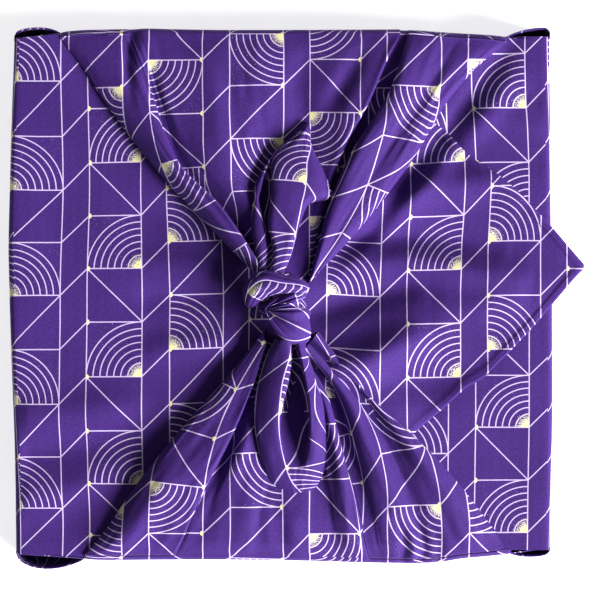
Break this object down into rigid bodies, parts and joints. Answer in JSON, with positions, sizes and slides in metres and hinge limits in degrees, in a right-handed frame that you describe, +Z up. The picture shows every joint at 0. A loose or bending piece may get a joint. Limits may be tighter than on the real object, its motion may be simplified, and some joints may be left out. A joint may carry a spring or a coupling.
{
  "type": "furoshiki wrap",
  "caption": "Square cotton cloth folded and tied round a flat square box, with two leaf-shaped tails and a pointed flap past one edge; hollow inside.",
  "frame": {"origin": "middle of the flat base, on the surface that the parcel rests on", "axes": "+Z up, out of the knotted side; +X east, towards the overhanging flap tip; +Y north, towards the upper tail"},
  "size_m": [0.3192, 0.3007, 0.056],
  "materials": {
    "printed_cotton": "matt plain weave with a fine pale gold line print"
  },
  "bodies": {
    "root": {"furoshiki_cloth": "printed_cotton"}
  },
  "joints": []
}
